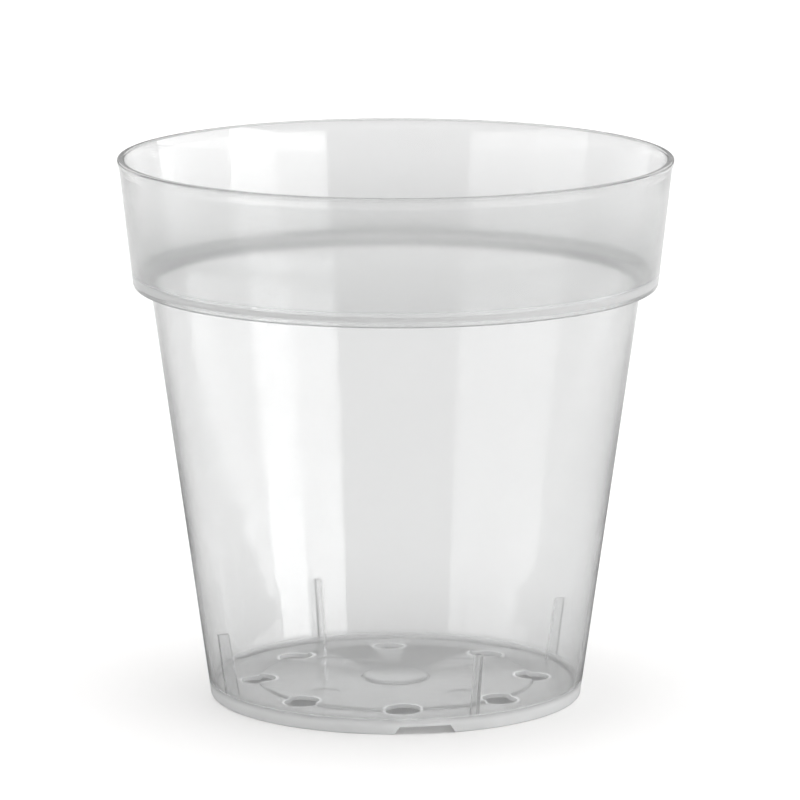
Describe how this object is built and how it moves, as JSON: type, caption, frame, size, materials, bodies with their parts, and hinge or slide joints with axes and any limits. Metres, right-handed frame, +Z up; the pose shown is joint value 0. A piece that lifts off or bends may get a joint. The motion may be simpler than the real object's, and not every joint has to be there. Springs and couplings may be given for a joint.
{
  "type": "orchid pot",
  "caption": "Clear tapered orchid pot with a stepped flared collar, a raised floor with round drain holes, notched standing ring and short stacking ribs inside.",
  "frame": {"origin": "on the ground, on the pot's axis, at the centre of the standing ring", "axes": "+Z up along the pot's axis, -Y towards the front, where one drain notch lies"},
  "size_m": [0.12, 0.12, 0.118],
  "materials": {
    "clear_plastic": "clear, slightly milky polypropylene with a smooth moulded gloss"
  },
  "bodies": {
    "root": {"collar": "clear_plastic", "step_shelf": "clear_plastic", "side_wall": "clear_plastic", "floor": "clear_plastic", "foot_1": "clear_plastic", "foot_2": "clear_plastic", "foot_3": "clear_plastic", "stacking_rib_1": "clear_plastic", "stacking_rib_2": "clear_plastic", "stacking_rib_3": "clear_plastic", "stacking_rib_4": "clear_plastic"}
  },
  "joints": []
}
